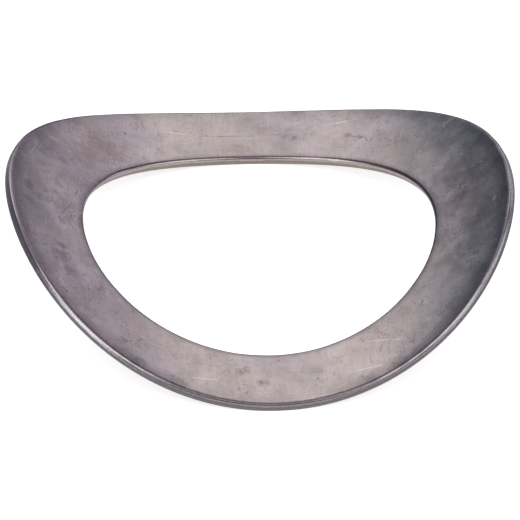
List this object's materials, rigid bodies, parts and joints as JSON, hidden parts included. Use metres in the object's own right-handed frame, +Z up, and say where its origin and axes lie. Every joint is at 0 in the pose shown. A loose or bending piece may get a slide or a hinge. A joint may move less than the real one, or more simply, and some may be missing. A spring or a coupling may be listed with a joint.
{
  "type": "wave washer",
  "caption": "Thin ring spring washer bent to a single wave, for taking up end play and keeping light preload on a shaft or bolt.",
  "frame": {"origin": "on the surface that the washer rests on, straight under the centre of its hole: the middle of the bounding box's lowest face", "axes": "+Z points up, out of the hollow side; Y runs along the line that the washer rests on, parallel to the axis of its bend; X runs from tip to tip"},
  "size_m": [0.0178, 0.019, 0.0034],
  "materials": {
    "spring_steel": "bare cold-rolled spring steel, dull and fine-grained, with handling scratches, bright sheared edges and no coating"
  },
  "bodies": {
    "root": {"wave_washer": "spring_steel"}
  },
  "joints": []
}
